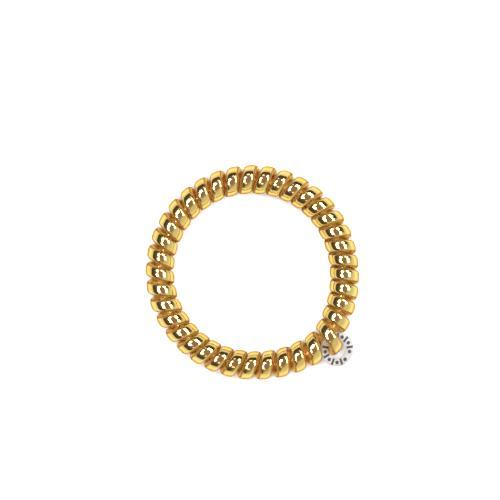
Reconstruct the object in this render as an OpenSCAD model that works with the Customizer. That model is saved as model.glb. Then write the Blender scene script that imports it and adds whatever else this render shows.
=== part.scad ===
// Spiral hair tie: one elastic wire wound into a coil that closes on itself as a ring,
// with a small flat ring threaded on one of its turns.
// It lies flat, its lowest turns on z = 0, and +Y is the top of the ring as it is looked at from above.
// Angles round the ring are counted clockwise from +Y, as on a clock.

/* [Coil] */
// Radius of the ring, measured to the middle of the coil
ring_r = 19.5; // [19.4:0.1:21]
// Diameter of the coil over its turns
coil_d = 6.04; // [5.9:0.02:6.1]
// Number of turns before the coil closes
turns = 37; // [35:1:37]

/* [Wire] */
// Width of the flattened wire, measured along the ring
wire_w = 2.65; // [2.2:0.05:2.7]
// Thickness of the wire, from the hollow of the coil to its outside
wire_t = 1.9; // [1.8:0.05:2.2]
// Power of the wire's section: 2 is an ellipse, and more is squarer
squareness = 2.6; // [2:0.1:2.8]

/* [Tag ring] */
// Outer diameter of the tag ring
tag_d = 7.3; // [6.8:0.1:7.3]
// Diameter of the hole that the wire goes through
tag_hole_d = 3.8; // [3.8:0.05:4.2]
// Thickness of the tag ring
tag_t = 1.0; // [0.8:0.1:1]
// Radius of its rounded edges
tag_edge_r = 0.4; // [0.2:0.05:0.4]
// Angle that its outer side droops towards the floor
tag_droop = 17.5; // [17:0.5:18]
// Angle that its clockwise side is raised, to stay square to the wire
tag_raise = 9; // [8.5:0.5:9.5]

/* [Facets] */
// Sides of the wire's section
wire_sides = 10; // [10:2:12]
// Sections of wire in each turn
turn_steps = 16; // [12:4:16]

/* [Hidden] */

coil_r = coil_d / 2;

// How the soft coil lies. Between the rows it changes smoothly.
// clock: place of the row, where a turn would be if all were evenly spaced, in degrees
// slip: how far the turns there are pushed round the ring, clockwise, in degrees
// lean: how far the outer side of a turn is pushed ahead of its inner side, in degrees
// stand: how far the middle of the coil stands outside ring_r
// swell: how much the radius of a turn is above coil_r
CLOCK = 0;
SLIP = 1;
LEAN = 2;
STAND = 3;
SWELL = 4;
LAY = [
    // clock, slip, lean, stand, swell
    [  0.0,  0.0,  0.0,  0.12,  0.00],
    [ 38.0, -0.5,  1.2, -0.08,  0.00],
    [ 75.0, -1.7,  0.6, -0.40,  0.02],
    [ 95.0, -3.0, -1.6, -0.35,  0.02],
    [111.0, -4.0, -2.4,  0.00,  0.00],
    [125.5, -4.4, -2.6,  0.37,  0.00],
    [135.2, -2.7,  0.2,  1.45,  0.48],
    [144.9, -0.6,  0.8,  0.74,  0.05],
    [158.0, -0.5,  0.2,  0.38,  0.00],
    [176.0,  0.4,  0.7, -0.02, -0.03],
    [200.0,  0.6,  1.2, -0.09,  0.00],
    [228.0, -0.2,  0.8, -0.03,  0.00],
    [285.0,  0.6,  0.4,  0.18, -0.05],
    [325.0,  0.0,  0.6,  0.26, -0.05],
];

// The turn that carries the tag ring has its outermost point at this even clock angle
tag_turn_clock = 135.2;
// Middle of the tag ring: its clock angle, and its height above the floor
tag_clock = 132.5;
tag_z = 2.44;
// How far the middle of the tag ring lies outside ring_r
tag_out = 4.24;

// The many-sided section is enlarged to about the area of the rounded one that it stands for
facet_gain = sqrt(2 * PI / (wire_sides * sin(360 / wire_sides)));
// Height of the coil's middle, so that its lowest corners touch the floor
coil_z = coil_r + wire_t / 2 * (facet_gain - 1);
// Shift that puts the middle of the whole tie's box on the origin
middle = [0.2, -0.12, 0];
// Part of a turn between the two points that give the wire's direction
direction_step = 0.001;

function unit(v) = v / norm(v);

// Row i of the table, which goes on round the ring past either end
function row(i) =
    let (rows = len(LAY), lap = floor(i / rows))
    LAY[i - lap * rows] + 360 * lap * [1, 0, 0, 0, 0];

// Change of a row for each degree, from the rows on both sides of it
function slope(i) = (row(i + 1) - row(i - 1)) / (row(i + 1)[CLOCK] - row(i - 1)[CLOCK]);

// Last row at or before an angle from 0 to 360
function row_before(clock, i = 0) =
    row(i + 1)[CLOCK] > clock ? i : row_before(clock, i + 1);

// The table's values at any angle, along a cubic curve through its rows
function lay(angle) =
    let (
        clock = angle - 360 * floor(angle / 360),
        i = row_before(clock),
        span = row(i + 1)[CLOCK] - row(i)[CLOCK],
        t = (clock - row(i)[CLOCK]) / span
    )
    (2 * t ^ 3 - 3 * t ^ 2 + 1) * row(i)
    + (t ^ 3 - 2 * t ^ 2 + t) * span * slope(i)
    + (3 * t ^ 2 - 2 * t ^ 3) * row(i + 1)
    + (t ^ 3 - t ^ 2) * span * slope(i + 1);

// Direction away from the middle of the ring at a clock angle
function away(clock) = [sin(clock), cos(clock), 0];

// Clock angle of the wire, u turns after the tag ring's turn
function wire_clock(u) =
    let (even = tag_turn_clock + 360 * u / turns, here = lay(even))
    even + here[SLIP] + here[LEAN] / 2 * cos(360 * u);

// Middle of the wire: it is outermost at whole turns, and goes down on the outside
function wire_middle(u) =
    let (
        here = lay(tag_turn_clock + 360 * u / turns),
        across = ring_r + here[STAND] + (coil_r + here[SWELL] - wire_t / 2) * cos(360 * u)
    )
    across * away(wire_clock(u)) + [0, 0, coil_z - (coil_r - wire_t / 2) * sin(360 * u)];

function wire_direction(u) =
    unit(wire_middle(u + direction_step) - wire_middle(u - direction_step));

// Direction from the coil's hollow to its outside, square to the wire
function wire_outward(u) =
    let (
        along = wire_direction(u),
        out = cos(360 * u) * away(wire_clock(u)) - [0, 0, sin(360 * u)]
    )
    unit(out - (out * along) * along);

// A sine or cosine as the superellipse of the section has it, with its sign kept
function squarish(value) = sign(value) * abs(value) ^ (2 / squareness);

// Corners of the wire's section
function wire_section(u) =
    let (out = wire_outward(u), side = cross(wire_direction(u), out))
    [for (corner = [0 : wire_sides - 1])
        let (
            a = 360 * corner / wire_sides,
            outward = wire_t * squarish(cos(a)),
            sideways = wire_w * squarish(sin(a))
        )
        wire_middle(u) + facet_gain / 2 * (outward * out + sideways * side)];

// The wire wound into a closed ring of turns
module coil() {
    sections = turns * turn_steps;
    points = [for (s = [0 : sections - 1]) each wire_section(s / turn_steps)];
    faces = [for (s = [0 : sections - 1], c = [0 : wire_sides - 1])
        let (
            next_s = (s + 1) % sections,
            next_c = (c + 1) % wire_sides,
            a = s * wire_sides + c,
            b = s * wire_sides + next_c,
            d = next_s * wire_sides + c,
            e = next_s * wire_sides + next_c
        )
        each [[a, d, e], [a, e, b]]];
    translate(middle) color("goldenrod") polyhedron(points, faces);
}

// Half of a cut through the tag ring: a bar with four rounded corners
module tag_section() {
    band = (tag_d - tag_hole_d) / 2;
    translate([tag_hole_d / 2, 0]) {
        translate([tag_edge_r, -tag_t / 2]) square([band - 2 * tag_edge_r, tag_t]);
        translate([0, tag_edge_r - tag_t / 2]) square([band, tag_t - 2 * tag_edge_r]);
        for (x = [tag_edge_r, band - tag_edge_r], y = [-1, 1])
            translate([x, y * (tag_t / 2 - tag_edge_r)]) circle(tag_edge_r, $fn = 32);
    }
}

// The flat ring, threaded on the wire, with its outer side lower than its inner side
module tag_ring() {
    translate(middle)
        rotate(90 - tag_clock)
        translate([ring_r + tag_out, 0, tag_z])
        rotate([-tag_raise, tag_droop, 0])
        color("whitesmoke") rotate_extrude($fn = 96) tag_section();
}

coil();
tag_ring();
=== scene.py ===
"""Spiral hair tie: a gold wire wound into a coil that closes as a ring, with a small tag ring on one turn.

Lengths are in metres and angles in degrees. Angles round the hair tie are counted clockwise from +Y,
as on a clock, and +Y is the top of it as it is looked at from above.
"""

from math import cos, pi, radians, sin

import bpy
import numpy as np
from bpy.props import FloatProperty, FloatVectorProperty, IntProperty, PointerProperty
from bpy.types import Operator, Panel, PropertyGroup
from mathutils import Euler, Matrix, Vector


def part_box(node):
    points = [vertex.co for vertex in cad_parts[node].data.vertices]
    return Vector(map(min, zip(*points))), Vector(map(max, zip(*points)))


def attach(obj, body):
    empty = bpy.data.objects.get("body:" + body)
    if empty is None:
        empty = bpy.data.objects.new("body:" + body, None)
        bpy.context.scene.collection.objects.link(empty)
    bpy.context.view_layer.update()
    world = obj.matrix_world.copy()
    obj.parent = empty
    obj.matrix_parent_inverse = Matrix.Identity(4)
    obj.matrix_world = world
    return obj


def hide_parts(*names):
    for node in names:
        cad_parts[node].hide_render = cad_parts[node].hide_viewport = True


bl_info = {
    "name": "Spiral Hair Tie",
    "version": (1, 0, 0),
    "blender": (4, 5, 0),
    "location": "3D View > Sidebar > Hair Tie",
    "description": "Makes a gold spiral hair tie with a small printed ring, round its packed frame",
    "category": "Add Mesh",
}

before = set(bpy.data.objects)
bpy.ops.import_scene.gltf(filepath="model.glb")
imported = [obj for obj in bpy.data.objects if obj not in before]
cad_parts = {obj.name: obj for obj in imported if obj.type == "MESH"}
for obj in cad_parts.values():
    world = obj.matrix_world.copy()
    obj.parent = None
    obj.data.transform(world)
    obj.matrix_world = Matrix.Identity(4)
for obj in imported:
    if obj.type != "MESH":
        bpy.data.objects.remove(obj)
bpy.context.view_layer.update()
COIL_LOW, COIL_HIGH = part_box("coil")

# How the soft coil lies. Between the rows it changes smoothly.
# clock: place of the row, where a turn would be if all were evenly spaced
# slip: how far the turns there are pushed round the ring, clockwise
# lean: how far the outer side of a turn is pushed ahead of its inner side
# stand: how far the middle of the coil stands outside the ring's radius
# swell: how much the radius of a turn is above half the coil's diameter
CLOCK, SLIP, LEAN, STAND, SWELL = range(5)
LAY = np.array([
    [0.0, 0.0, 0.0, 0.00012, 0.0],
    [38.0, -0.5, 1.2, -0.00008, 0.0],
    [75.0, -1.7, 0.6, -0.0004, 0.00002],
    [95.0, -3.0, -1.6, -0.00035, 0.00002],
    [111.0, -4.0, -2.4, 0.0, 0.0],
    [125.5, -4.4, -2.6, 0.00037, 0.0],
    [135.2, -2.7, 0.2, 0.00145, 0.00048],
    [144.9, -0.6, 0.8, 0.00074, 0.00005],
    [158.0, -0.5, 0.2, 0.00038, 0.0],
    [176.0, 0.4, 0.7, -0.00002, -0.00003],
    [200.0, 0.6, 1.2, -0.00009, 0.0],
    [228.0, -0.2, 0.8, -0.00003, 0.0],
    [285.0, 0.6, 0.4, 0.00018, -0.00005],
    [325.0, 0.0, 0.6, 0.00026, -0.00005],
])
# The turn that carries the tag ring has its outermost point at this even clock angle
TAG_TURN_CLOCK = 135.2
# Shift that puts the middle of the whole tie's box on the origin
MIDDLE = np.array([0.0002, -0.00012, 0.0])
# Part of a turn from a place to each of the two points that give the wire's direction there
DIRECTION_STEP = 0.001
# Point of the ring's frame that is at the middle of the photograph
PHOTO_MIDDLE = (-0.00051, 0.00467)

# Where the coating changes, as the cosine of the angle round the wire's section: 1 is at the middle of the
# wire's outer face, and 0 at the middle of its flanks. From BRIGHT_TO to MATT_FROM the colour goes to a dark
# painted shade, and from there to INNER_COLOUR_FROM to a paler painted reflection
BRIGHT_TO = 0.9
MATT_FROM = 0.6
INNER_COLOUR_FROM = 0.15
# Depth of the coating's ripple and of the plastic's grain
RIPPLE_DEPTH = 0.0000025
GRAIN_DEPTH = 0.000004
# Share of the plain colour that the darkest patches of the plastic and of the floor have
CLOUD_SHADE = 0.9
FLOOR_SHADE = 0.98
# Half the width of a printed mark's soft edge
INK_EDGE = 0.00001
# Heights above the middle of the tag ring at which the print begins and is full
PRINT_BEGINS = 0.0003
PRINT_FULL = 0.0004

# Heights of a direction, 0 at the horizon and 1 straight up, between which the surround gives way to the
# ceiling, and the lower ceiling to the upper one
SURROUND_EDGE = (0.3, 0.33)
CEILING_EDGE = (0.6, 0.95)
# The way to the reflector, as a vector of length 1: its parts to the right, +X, and to the front, -Y
REFLECTOR_RIGHT = 0.77
REFLECTOR_FRONT = 0.64
# How far a direction goes that way where the reflector's soft edge begins and ends
REFLECTOR_EDGE = (0.3, 0.7)
# Watts for each square metre of a light that make it as bright as a surface of brightness 1
LIGHT_POWER = 4

# The lights: name, azimuth, angle from straight up, the angles that it covers round and up, and brightness
LIGHTS = [
    ("left_front", 205, 23, 19, 15, 17.0),
    ("left_back", 140, 22, 19, 15, 17.0),
    ("right_front", 4, 37, 19, 15, 17.0),
    ("right_back", 48, 36, 20, 15, 17.0),
    ("spot_back", 92, 40, 9, 9, 2.0),
    ("spot_front", 262, 31, 9, 9, 2.0),
]


class CoilSettings(PropertyGroup):
    """Sizes and finish of the coil."""

    ring_radius: FloatProperty(
        name="Ring radius", description="From the middle of the ring to the middle of the coil",
        default=0.0195, min=0.01, max=0.04, precision=5, unit="LENGTH")
    coil_diameter: FloatProperty(
        name="Coil diameter", description="Diameter of the coil over its turns",
        default=0.00604, min=0.004, max=0.012, precision=5, unit="LENGTH")
    turns: IntProperty(
        name="Turns", description="Number of turns before the coil closes", default=37, min=12, max=60)
    wire_width: FloatProperty(
        name="Wire width", description="Width of the flattened wire, measured along the ring",
        default=0.00265, min=0.001, max=0.005, precision=5, unit="LENGTH")
    wire_thickness: FloatProperty(
        name="Wire thickness", description="From the hollow of the coil to its outside",
        default=0.0019, min=0.001, max=0.004, precision=5, unit="LENGTH")
    squareness: FloatProperty(
        name="Squareness", description="Power of the wire's section: 2 is an ellipse, and more is squarer",
        default=3.0, min=1.5, max=6.0)
    turn_steps: IntProperty(
        name="Steps", description="Sections of wire in each turn", default=54, min=12, max=96)
    wire_sides: IntProperty(
        name="Sides", description="Points round the wire's section", default=40, min=8, max=64)
    gold: FloatVectorProperty(
        name="Gold", description="Colour of the gold coating", subtype="COLOR",
        default=(0.625, 0.47, 0.155), min=0, max=1)
    deep_gold: FloatVectorProperty(
        name="Deep gold", description="Colour of the coating where it is thickest", subtype="COLOR",
        default=(0.605, 0.43, 0.125), min=0, max=1)
    # The next two colours are painted shade and painted reflection between the turns and in the hollow of the
    # coil: a dark brown border beside the bright face, and orange gold further in, for the turns mirroring
    # each other.
    painted_reflection_gold: FloatVectorProperty(
        name="Matt gold", description="Colour of the coating in the coil and between turns, where it is matt",
        subtype="COLOR", default=(0.81, 0.53, 0.14), min=0, max=1)
    painted_shade_border: FloatVectorProperty(
        name="Border gold", description="Colour of the matt coating where it borders on the bright one",
        subtype="COLOR", default=(0.22, 0.1, 0.02), min=0, max=1)
    edge_tint: FloatVectorProperty(
        name="Edge tint", description="Tint of the coating where it is seen edge on", subtype="COLOR",
        default=(0.38, 0.2, 0.07), min=0, max=1)
    polish: FloatProperty(
        name="Roughness", description="Roughness of the coating where it is best polished",
        default=0.05, min=0, max=1)
    wear: FloatProperty(
        name="Wear", description="What handling adds to the roughness where it is worst",
        default=0.05, min=0, max=1)
    matt_roughness: FloatProperty(
        name="Matt roughness", description="What the matt coating adds to the roughness",
        default=0.35, min=0, max=1)
    matt_metal: FloatProperty(
        name="Matt metal", description="How metallic the matt coating is", default=0.6, min=0, max=1)


class TagSettings(PropertyGroup):
    """Sizes, place and finish of the tag ring."""

    diameter: FloatProperty(
        name="Diameter", description="Outer diameter of the tag ring",
        default=0.0073, min=0.004, max=0.015, precision=5, unit="LENGTH")
    hole_diameter: FloatProperty(
        name="Hole", description="Diameter of the hole that the wire goes through",
        default=0.0038, min=0.002, max=0.01, precision=5, unit="LENGTH")
    thickness: FloatProperty(
        name="Thickness", description="Thickness of the tag ring",
        default=0.001, min=0.0004, max=0.003, precision=5, unit="LENGTH")
    edge_radius: FloatProperty(
        name="Edge radius", description="Radius of its rounded edges",
        default=0.0004, min=0.0001, max=0.0005, precision=5, unit="LENGTH")
    clock: FloatProperty(
        name="Clock angle", description="Where its middle is round the ring, in degrees", default=132.5)
    outward: FloatProperty(
        name="Outward", description="How far its middle lies outside the ring's radius",
        default=0.00424, precision=5, unit="LENGTH")
    height: FloatProperty(
        name="Height", description="Height of its middle above the floor",
        default=0.00244, precision=5, unit="LENGTH")
    droop: FloatProperty(
        name="Droop", description="Angle that its outer side droops towards the floor, in degrees",
        default=17.5)
    raised: FloatProperty(
        name="Raised", description="Angle that its clockwise side is raised, in degrees", default=9.0)
    marks: IntProperty(
        name="Marks", description="Places round it for a printed mark", default=18, min=4, max=60)
    bar_width: FloatProperty(
        name="Bar width", description="Width of a printed bar", default=0.0005, precision=5, unit="LENGTH")
    bar_length: FloatProperty(
        name="Bar length", description="Length of a printed bar", default=0.0014, precision=5, unit="LENGTH")
    dot_diameter: FloatProperty(
        name="Dot", description="Diameter of a printed dot", default=0.0008, precision=5, unit="LENGTH")
    plastic: FloatVectorProperty(
        name="Plastic", description="Colour of the milky plastic", subtype="COLOR",
        default=(0.7, 0.69, 0.67), min=0, max=1)
    ink: FloatVectorProperty(
        name="Ink", description="Colour of the printed marks", subtype="COLOR",
        default=(0.008, 0.005, 0.006), min=0, max=1)
    refraction: FloatProperty(
        name="Refraction", description="Index of refraction of the plastic", default=1.36, min=1, max=2)
    clearness: FloatProperty(
        name="Clearness", description="Share of the light that goes through the plastic",
        default=0.8, min=0, max=1)


class StageSettings(PropertyGroup):
    """Floor, lights and camera."""

    floor_size: FloatProperty(
        name="Floor size", description="Side of the square floor", default=6.0, unit="LENGTH")
    floor_colour: FloatVectorProperty(
        name="Floor", description="Colour of the floor", subtype="COLOR",
        default=(0.77, 0.77, 0.77), min=0, max=1)
    surround: FloatVectorProperty(
        name="Surround", description="Colour of the pale surround above the floor", subtype="COLOR",
        default=(1.34, 1.34, 1.3), min=0, max=4)
    lower_ceiling: FloatVectorProperty(
        name="Lower ceiling", description="Colour of the dark studio above the surround", subtype="COLOR",
        default=(0.12, 0.09, 0.12), min=0, max=4)
    upper_ceiling: FloatVectorProperty(
        name="Upper ceiling", description="Colour of the studio straight above", subtype="COLOR",
        default=(0.44, 0.33, 0.44), min=0, max=4)
    reflector: FloatVectorProperty(
        name="Reflector", description="Colour of the large pale reflector", subtype="COLOR",
        default=(1.05, 1.08, 1.0), min=0, max=4)
    light_distance: FloatProperty(
        name="Light distance", description="From the hair tie to each light", default=1.2, unit="LENGTH")
    camera_height: FloatProperty(
        name="Camera height", description="Height of the camera above the floor",
        default=0.6, unit="LENGTH")
    view_width: FloatProperty(
        name="View width", description="Width that the picture shows at the middle of the coil",
        default=0.105, precision=4, unit="LENGTH")


def unit(vectors):
    """Each vector divided by its own length."""
    return vectors / np.linalg.norm(vectors, axis=-1, keepdims=True)


def lay_at(clock):
    """The table's values at each clock angle, along the cubic curve through its rows.

    A row's slope is the difference of the rows on both sides of it, divided by the angle between them.
    """
    lap = np.array([360.0, 0, 0, 0, 0])
    rows = np.concatenate([LAY[-2:] - lap, LAY, LAY[:2] + lap])
    slopes = (rows[2:] - rows[:-2]) / (rows[2:, CLOCK] - rows[:-2, CLOCK])[:, None]
    rows = rows[1:-1]
    clock = clock % 360
    before = np.searchsorted(rows[:, CLOCK], clock, side="right") - 1
    span = (rows[before + 1, CLOCK] - rows[before, CLOCK])[:, None]
    t = (clock[:, None] - rows[before, CLOCK][:, None]) / span
    return (
        (2 * t**3 - 3 * t**2 + 1) * rows[before]
        + (t**3 - 2 * t**2 + t) * span * slopes[before]
        + (3 * t**2 - 2 * t**3) * rows[before + 1]
        + (t**3 - t**2) * span * slopes[before + 1]
    )


def away(clock):
    """Unit vectors away from the middle of the ring at each clock angle."""
    turned = np.radians(clock)
    return np.stack([np.sin(turned), np.cos(turned), np.zeros_like(turned)], axis=-1)


def wire_middle(u, sizes):
    """Middle of the wire, u turns after the tag ring's turn, and the clock angle there.

    A helix round a circle: the wire is outermost at whole turns, and goes down on the outside.
    """
    even = TAG_TURN_CLOCK + 360 * u / sizes.turns
    lay = lay_at(even)
    turned = 2 * pi * u
    clock = even + lay[:, SLIP] + lay[:, LEAN] / 2 * np.cos(turned)
    winding = (sizes.coil_diameter - sizes.wire_thickness) / 2
    across = sizes.ring_radius + lay[:, STAND] + (winding + lay[:, SWELL]) * np.cos(turned)
    points = across[:, None] * away(clock)
    points[:, 2] = (COIL_LOW.z + COIL_HIGH.z) / 2 - winding * np.sin(turned)
    return points + MIDDLE, clock


def wire_frame(u, sizes):
    """Middle of the wire, the direction out of the coil and the direction across the wire, at each u."""
    points, clock = wire_middle(u, sizes)
    ahead, _ = wire_middle(u + DIRECTION_STEP, sizes)
    behind, _ = wire_middle(u - DIRECTION_STEP, sizes)
    along = unit(ahead - behind)
    turned = 2 * pi * u[:, None]
    out = np.cos(turned) * away(clock) - np.sin(turned) * np.array([0, 0, 1])
    out = unit(out - np.sum(out * along, axis=-1, keepdims=True) * along)
    return points, out, np.cross(along, out)


def coil_grid(sizes):
    """Points of the coil: a flattened round section carried along the helix.

    The section is a superellipse: at angle a its half sizes are multiplied by cos a and sin a, each raised
    to the power 2 / squareness with its sign kept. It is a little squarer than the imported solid's, so that
    the mirrored lights reach across the wire.
    """
    u = np.arange(sizes.turns * sizes.turn_steps) / sizes.turn_steps
    points, out, side = wire_frame(u, sizes)
    a = 2 * pi * np.arange(sizes.wire_sides) / sizes.wire_sides
    power = 2 / sizes.squareness
    outward = np.sign(np.cos(a)) * np.abs(np.cos(a)) ** power * sizes.wire_thickness / 2
    sideways = np.sign(np.sin(a)) * np.abs(np.sin(a)) ** power * sizes.wire_width / 2
    return points[:, None] + outward[None, :, None] * out[:, None] + sideways[None, :, None] * side[:, None]


def tag_place(sizes, ring_radius):
    """Matrix that takes the tag ring from the origin, its hole along Z, to its turn of the coil."""
    tilt = Matrix.Rotation(radians(sizes.droop), 4, "Y") @ Matrix.Rotation(radians(-sizes.raised), 4, "X")
    out = Matrix.Translation((ring_radius + sizes.outward, 0, sizes.height))
    return Matrix.Translation(MIDDLE) @ Matrix.Rotation(radians(90 - sizes.clock), 4, "Z") @ out @ tilt


def tag_grid(sizes, steps=144, corner_steps=9):
    """Points of the tag ring about the origin: a bar with rounded corners carried round a circle.

    Each corner of the bar is a quarter of a circle, and the flat sides join their ends.
    """
    band = (sizes.diameter - sizes.hole_diameter) / 2
    quarter = np.linspace(0, pi / 2, corner_steps)
    a = np.concatenate([quarter + pi / 2 * corner for corner in range(4)])
    corner = np.repeat([0, 1, 2, 3], corner_steps)
    right = np.array([1, -1, -1, 1])[corner]
    top = np.array([1, 1, -1, -1])[corner]
    radius = (sizes.hole_diameter + band) / 2 + right * (band / 2 - sizes.edge_radius)
    radius = radius + sizes.edge_radius * np.cos(a)
    height = top * (sizes.thickness / 2 - sizes.edge_radius) + sizes.edge_radius * np.sin(a)
    turned = 2 * pi * np.arange(steps)[:, None] / steps
    return np.stack([radius * np.cos(turned), radius * np.sin(turned), height + 0 * turned], axis=-1)


def closed_surface(name, grid, material):
    """Smooth piece whose faces join each point of a grid to the next both ways, and the last to the first.

    The UV map runs from 0 to 1 along the rows and round each row.
    """
    rows, columns, _ = grid.shape
    i, j = np.meshgrid(np.arange(rows), np.arange(columns), indexing="ij")
    step_i = np.array([0, 1, 1, 0])
    step_j = np.array([0, 0, 1, 1])
    corner_i = i.ravel()[:, None] + step_i
    corner_j = j.ravel()[:, None] + step_j
    mesh = bpy.data.meshes.new(name)
    mesh.vertices.add(rows * columns)
    mesh.vertices.foreach_set("co", grid.astype(np.float32).ravel())
    mesh.loops.add(4 * rows * columns)
    mesh.loops.foreach_set("vertex_index", (corner_i % rows * columns + corner_j % columns).ravel())
    mesh.polygons.add(rows * columns)
    mesh.polygons.foreach_set("loop_start", np.arange(0, 4 * rows * columns, 4))
    mesh.update(calc_edges=True)
    mesh.shade_smooth()
    places = mesh.uv_layers.new(name="UVMap")
    uv = np.stack([corner_i / rows, corner_j / columns], axis=-1)
    places.data.foreach_set("uv", uv.astype(np.float32).ravel())
    mesh.materials.append(material)
    piece = bpy.data.objects.new(name, mesh)
    bpy.context.scene.collection.objects.link(piece)
    return piece


def new_material(name):
    """Empty material with an output, and its node tree."""
    material = bpy.data.materials.new(name)
    material.use_nodes = True
    material.node_tree.nodes.clear()
    return material, material.node_tree


def add_node(tree, kind, inputs=None, **settings):
    """Node of a kind, with its settings. An input is a value, or the socket that feeds it."""
    node = tree.nodes.new(kind)
    for name, value in settings.items():
        setattr(node, name, value)
    for name, value in (inputs or {}).items():
        if isinstance(value, bpy.types.NodeSocket):
            tree.links.new(value, node.inputs[name])
        else:
            node.inputs[name].default_value = value
    return node


def maths(tree, operation, *values):
    """Output of a Math node that works on one to three values or sockets."""
    return add_node(tree, "ShaderNodeMath", dict(enumerate(values)), operation=operation).outputs[0]


def noise(tree, place, scale, detail=2.0):
    """Output of a noise whose scale is about the number of its waves in a metre."""
    inputs = {"Vector": place, "Scale": scale, "Detail": detail}
    return add_node(tree, "ShaderNodeTexNoise", inputs).outputs["Fac"]


def map_range(tree, value, from_min, from_max, to_min=0.0, to_max=1.0):
    """Output of a smooth Map Range node."""
    inputs = {"Value": value, "From Min": from_min, "From Max": from_max, "To Min": to_min, "To Max": to_max}
    return add_node(tree, "ShaderNodeMapRange", inputs, interpolation_type="SMOOTHSTEP").outputs["Result"]


def mix_colours(tree, factor, first, second):
    """Output of a Mix node that goes from the first colour to the second."""
    inputs = {"Factor": factor, "A": first, "B": second}
    return add_node(tree, "ShaderNodeMix", inputs, data_type="RGBA").outputs["Result"]


def gold_coating(sizes):
    """Mirror-bright gold on the wire's outer face, and matt gold on its flanks and in the hollow of the coil.

    The bright coating is a little uneven, with handling marks. The matt one's colour is painted shade and
    painted
    reflection between the turns: a dark brown border beside the bright face, and paler orange further in.
    Bright glints, spots of low roughness, break it up. The UV map's Y, from 0 to 1 round the wire, gives the
    cosine that says which of them covers a place.
    """
    material, tree = new_material("gold_coating")
    texture_place = add_node(tree, "ShaderNodeTexCoord")
    place = texture_place.outputs["Object"]
    tone = map_range(tree, noise(tree, place, scale=260.0), 0.35, 0.7)
    bright_colour = mix_colours(tree, tone, (*sizes.gold, 1), (*sizes.deep_gold, 1))
    handled = map_range(tree, noise(tree, place, scale=700.0, detail=4.0), 0.5, 0.72)
    polished = maths(tree, "MULTIPLY_ADD", handled, sizes.wear, sizes.polish)
    round_wire = add_node(tree, "ShaderNodeSeparateXYZ", {0: texture_place.outputs["UV"]}).outputs["Y"]
    outward = maths(tree, "COSINE", maths(tree, "MULTIPLY", round_wire, 2 * pi))
    # The matt mask sets the matt roughness and metal, and also brings in the painted shade and painted
    # reflection colour between the turns
    matt = map_range(tree, outward, BRIGHT_TO, MATT_FROM)
    inner = map_range(tree, outward, MATT_FROM, INNER_COLOUR_FROM)
    painted_shade_colour = mix_colours(tree, inner, (*sizes.painted_shade_border, 1), (*sizes.painted_reflection_gold, 1))
    colour = mix_colours(tree, matt, bright_colour, painted_shade_colour)
    glint = map_range(tree, noise(tree, place, scale=1300.0, detail=1.0), 0.58, 0.64)
    dulled = maths(tree, "MULTIPLY", matt, maths(tree, "SUBTRACT", 1.0, glint))
    roughness = maths(tree, "MULTIPLY_ADD", dulled, sizes.matt_roughness, polished)
    metallic = maths(tree, "MULTIPLY_ADD", dulled, sizes.matt_metal - 1.0, 1.0)
    ripple = add_node(tree, "ShaderNodeBump", {
        "Height": noise(tree, place, scale=650.0), "Strength": 1.0, "Distance": RIPPLE_DEPTH})
    shader = add_node(tree, "ShaderNodeBsdfPrincipled", {
        "Base Color": colour,
        "Metallic": metallic,
        "Roughness": roughness,
        "Specular Tint": (*sizes.edge_tint, 1),
        "Normal": ripple.outputs[0],
    })
    add_node(tree, "ShaderNodeOutputMaterial", {"Surface": shader.outputs[0]})
    return material


def print_mask(tree, place, sizes):
    """Where the tag ring is printed, from 0 to 1: bars and dots by turns, with two places left bare.

    The distance past the edge of a bar is the greater of those past its side and its end, and the distance
    past the edge of a dot is the length of (sideways, outward) less the dot's radius.
    """
    x, y, z = add_node(tree, "ShaderNodeSeparateXYZ", {0: place}).outputs
    flat = add_node(tree, "ShaderNodeCombineXYZ", {"X": x, "Y": y}).outputs[0]
    radius = add_node(tree, "ShaderNodeVectorMath", {0: flat}, operation="LENGTH").outputs["Value"]
    turned = maths(tree, "MULTIPLY", maths(tree, "ARCTAN2", y, x), sizes.marks / (2 * pi))
    mark = maths(tree, "FLOOR", turned)
    off_middle = maths(tree, "SUBTRACT", maths(tree, "FRACT", turned), 0.5)
    arc = maths(tree, "MULTIPLY", radius, 2 * pi / sizes.marks)
    sideways = maths(tree, "ABSOLUTE", maths(tree, "MULTIPLY", off_middle, arc))
    print_radius = (sizes.diameter + sizes.hole_diameter) / 4
    outward = maths(tree, "ABSOLUTE", maths(tree, "SUBTRACT", radius, print_radius))
    past_side = maths(tree, "SUBTRACT", sideways, sizes.bar_width / 2)
    past_end = maths(tree, "SUBTRACT", outward, sizes.bar_length / 2)
    past_bar = maths(tree, "MAXIMUM", past_side, past_end)
    reach = add_node(tree, "ShaderNodeCombineXYZ", {"X": sideways, "Y": outward}).outputs[0]
    from_middle = add_node(tree, "ShaderNodeVectorMath", {0: reach}, operation="LENGTH").outputs["Value"]
    past_dot = maths(tree, "SUBTRACT", from_middle, sizes.dot_diameter / 2)
    is_dot = maths(tree, "FLOORED_MODULO", mark, 2.0)
    past_mark = add_node(tree, "ShaderNodeMix", {"Factor": is_dot, "A": past_bar, "B": past_dot})
    printed = map_range(tree, past_mark.outputs["Result"], INK_EDGE, -INK_EDGE)
    on_top = map_range(tree, z, PRINT_BEGINS, PRINT_FULL)
    in_half = maths(tree, "FLOORED_MODULO", mark, sizes.marks / 2)
    bare = maths(tree, "LESS_THAN", in_half, 0.5)
    shown = maths(tree, "MULTIPLY", printed, maths(tree, "SUBTRACT", 1.0, bare))
    return maths(tree, "MULTIPLY", shown, on_top)


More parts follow.
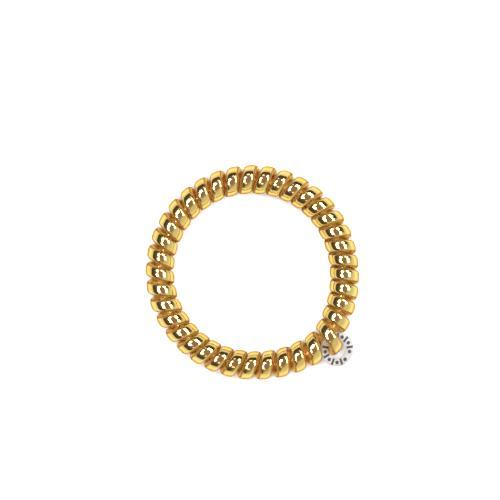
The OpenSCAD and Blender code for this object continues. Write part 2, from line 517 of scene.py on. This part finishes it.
def milky_plastic(sizes, place_matrix):
    """Milky clear plastic that lets what is under it show through, with dark ink on its upper face."""
    material, tree = new_material("milky_plastic")
    place = add_node(tree, "ShaderNodeTexCoord").outputs["Object"]
    own_place = add_node(tree, "ShaderNodeMapping", {
        "Vector": place,
        "Location": place_matrix.translation,
        "Rotation": place_matrix.to_euler(),
    }, vector_type="TEXTURE").outputs[0]
    cloud = map_range(tree, noise(tree, place, scale=500.0, detail=3.0), 0.3, 0.7)
    cloudy = [CLOUD_SHADE * channel for channel in sizes.plastic]
    plastic = mix_colours(tree, cloud, (*sizes.plastic, 1), (*cloudy, 1))
    colour = mix_colours(tree, print_mask(tree, own_place, sizes), plastic, (*sizes.ink, 1))
    worn = noise(tree, place, scale=1800.0, detail=3.0)
    roughness = map_range(tree, worn, 0.4, 0.7, to_min=0.32, to_max=0.42)
    grain = add_node(tree, "ShaderNodeBump", {
        "Height": noise(tree, place, scale=2500.0), "Strength": 1.0, "Distance": GRAIN_DEPTH})
    shader = add_node(tree, "ShaderNodeBsdfPrincipled", {
        "Base Color": colour,
        "Roughness": roughness,
        "IOR": sizes.refraction,
        "Transmission Weight": sizes.clearness,
        "Normal": grain.outputs[0],
    })
    add_node(tree, "ShaderNodeOutputMaterial", {"Surface": shader.outputs[0]})
    return material


def floor_material(colour):
    """Plain matt floor with a very faint grain."""
    material, tree = new_material("floor")
    place = add_node(tree, "ShaderNodeTexCoord").outputs["Object"]
    grain = map_range(tree, noise(tree, place, scale=400.0), 0.2, 0.8)
    dusty = [FLOOR_SHADE * channel for channel in colour]
    shade = mix_colours(tree, grain, (*dusty, 1), (*colour, 1))
    shader = add_node(tree, "ShaderNodeBsdfPrincipled", {
        "Base Color": shade, "Roughness": 0.9, "Specular IOR Level": 0.1})
    add_node(tree, "ShaderNodeOutputMaterial", {"Surface": shader.outputs[0]})
    return material


def studio_surround(stage):
    """Dark studio above a pale surround, with a large pale reflector in front on the right.

    The reflector comes up smoothly as a direction goes further its way, which is the direction's part along
    the way to it.
    """
    world = bpy.data.worlds.new("studio")
    world.use_nodes = True
    tree = world.node_tree
    tree.nodes.clear()
    direction = add_node(tree, "ShaderNodeTexCoord").outputs["Generated"]
    x, y, height = add_node(tree, "ShaderNodeSeparateXYZ", {0: direction}).outputs
    top = map_range(tree, height, *CEILING_EDGE)
    ceiling = mix_colours(tree, top, (*stage.lower_ceiling, 1), (*stage.upper_ceiling, 1))
    to_right = maths(tree, "MULTIPLY", x, REFLECTOR_RIGHT)
    to_back = maths(tree, "MULTIPLY", y, REFLECTOR_FRONT)
    towards = map_range(tree, maths(tree, "SUBTRACT", to_right, to_back), *REFLECTOR_EDGE)
    above = mix_colours(tree, towards, ceiling, (*stage.reflector, 1))
    past_surround = map_range(tree, height, *SURROUND_EDGE)
    shade = mix_colours(tree, past_surround, (*stage.surround, 1), above)
    light = add_node(tree, "ShaderNodeBackground", {"Color": shade})
    add_node(tree, "ShaderNodeOutputWorld", {"Surface": light.outputs[0]})
    return world


def add_floor(stage):
    """Square floor under the hair tie."""
    half = stage.floor_size / 2
    mesh = bpy.data.meshes.new("floor")
    corners = [(-half, -half, 0), (half, -half, 0), (half, half, 0), (-half, half, 0)]
    mesh.from_pydata(corners, [], [(0, 1, 2, 3)])
    mesh.materials.append(floor_material(stage.floor_colour))
    floor = bpy.data.objects.new("floor", mesh)
    bpy.context.scene.collection.objects.link(floor)


def add_light(name, azimuth, from_top, round_angle, up_angle, brightness, distance):
    """Soft box that faces the hair tie, with the angles that it covers and its brightness as seen from it."""
    lamp = bpy.data.lights.new(name, "AREA")
    lamp.shape = "RECTANGLE"
    lamp.size = distance * radians(round_angle)
    lamp.size_y = distance * radians(up_angle)
    lamp.energy = LIGHT_POWER * lamp.size * lamp.size_y * brightness
    light = bpy.data.objects.new(name, lamp)
    turned, tilted = radians(azimuth), radians(from_top)
    place = Vector((sin(tilted) * cos(turned), sin(tilted) * sin(turned), cos(tilted)))
    light.location = distance * place
    light.rotation_euler = Euler((tilted, 0, turned + pi / 2))
    bpy.context.scene.collection.objects.link(light)


def add_camera(stage):
    """Camera straight above, with the hair tie where the photograph has it."""
    camera = bpy.data.cameras.new("camera")
    to_coil = stage.camera_height - (COIL_LOW.z + COIL_HIGH.z) / 2
    camera.lens = camera.sensor_width * to_coil / stage.view_width
    holder = bpy.data.objects.new("camera", camera)
    holder.location = (*PHOTO_MIDDLE, stage.camera_height)
    bpy.context.scene.collection.objects.link(holder)
    bpy.context.scene.camera = holder


class HAIRTIE_OT_stage(Operator):
    """Make the pale floor, the surround, the lights and the camera"""

    bl_idname = "hair_tie.stage"
    bl_label = "Stage"
    bl_options = {"REGISTER", "UNDO"}

    def execute(self, context):
        stage = context.scene.hair_tie_stage
        add_floor(stage)
        for light in LIGHTS:
            add_light(*light, stage.light_distance)
        add_camera(stage)
        context.scene.world = studio_surround(stage)
        context.scene.view_settings.view_transform = "Standard"
        return {"FINISHED"}


class HAIRTIE_OT_coil(Operator):
    """Make the gold coil in place of the faceted one"""

    bl_idname = "hair_tie.coil"
    bl_label = "Gold coil"
    bl_options = {"REGISTER", "UNDO"}

    def execute(self, context):
        sizes = context.scene.hair_tie_coil
        coil = closed_surface("gold_coil", coil_grid(sizes), gold_coating(sizes))
        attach(coil, "root")
        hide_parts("coil")
        return {"FINISHED"}


class HAIRTIE_OT_tag(Operator):
    """Make the milky clear tag ring with its printed marks"""

    bl_idname = "hair_tie.tag"
    bl_label = "Tag ring"
    bl_options = {"REGISTER", "UNDO"}

    def execute(self, context):
        sizes = context.scene.hair_tie_tag
        place = tag_place(sizes, context.scene.hair_tie_coil.ring_radius)
        tag = closed_surface("printed_tag_ring", tag_grid(sizes), milky_plastic(sizes, place))
        tag.data.transform(place)
        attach(tag, "root")
        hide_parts("tag_ring")
        return {"FINISHED"}


class HAIRTIE_PT_panel(Panel):
    """Sizes, finishes and buttons of the hair tie"""

    bl_idname = "HAIRTIE_PT_panel"
    bl_label = "Spiral hair tie"
    bl_space_type = "VIEW_3D"
    bl_region_type = "UI"
    bl_category = "Hair Tie"

    def draw(self, context):
        scene = context.scene
        for operator, settings in (
            (HAIRTIE_OT_stage, scene.hair_tie_stage),
            (HAIRTIE_OT_coil, scene.hair_tie_coil),
            (HAIRTIE_OT_tag, scene.hair_tie_tag),
        ):
            box = self.layout.box()
            for name in settings.bl_rna.properties.keys():
                if name not in ("rna_type", "name"):
                    box.prop(settings, name)
            box.operator(operator.bl_idname)


CLASSES = (
    CoilSettings,
    TagSettings,
    StageSettings,
    HAIRTIE_OT_stage,
    HAIRTIE_OT_coil,
    HAIRTIE_OT_tag,
    HAIRTIE_PT_panel,
)


def register():
    """Registers the classes, and gives the scene their settings."""
    for kind in CLASSES:
        bpy.utils.register_class(kind)
    bpy.types.Scene.hair_tie_coil = PointerProperty(type=CoilSettings)
    bpy.types.Scene.hair_tie_tag = PointerProperty(type=TagSettings)
    bpy.types.Scene.hair_tie_stage = PointerProperty(type=StageSettings)


def unregister():
    """Takes the settings off the scene, and the classes out again."""
    del bpy.types.Scene.hair_tie_stage
    del bpy.types.Scene.hair_tie_tag
    del bpy.types.Scene.hair_tie_coil
    for kind in reversed(CLASSES):
        bpy.utils.unregister_class(kind)


def main():
    """Makes the whole scene."""
    register()
    bpy.ops.hair_tie.stage()
    bpy.ops.hair_tie.coil()
    bpy.ops.hair_tie.tag()


if __name__ == "__main__":
    main()
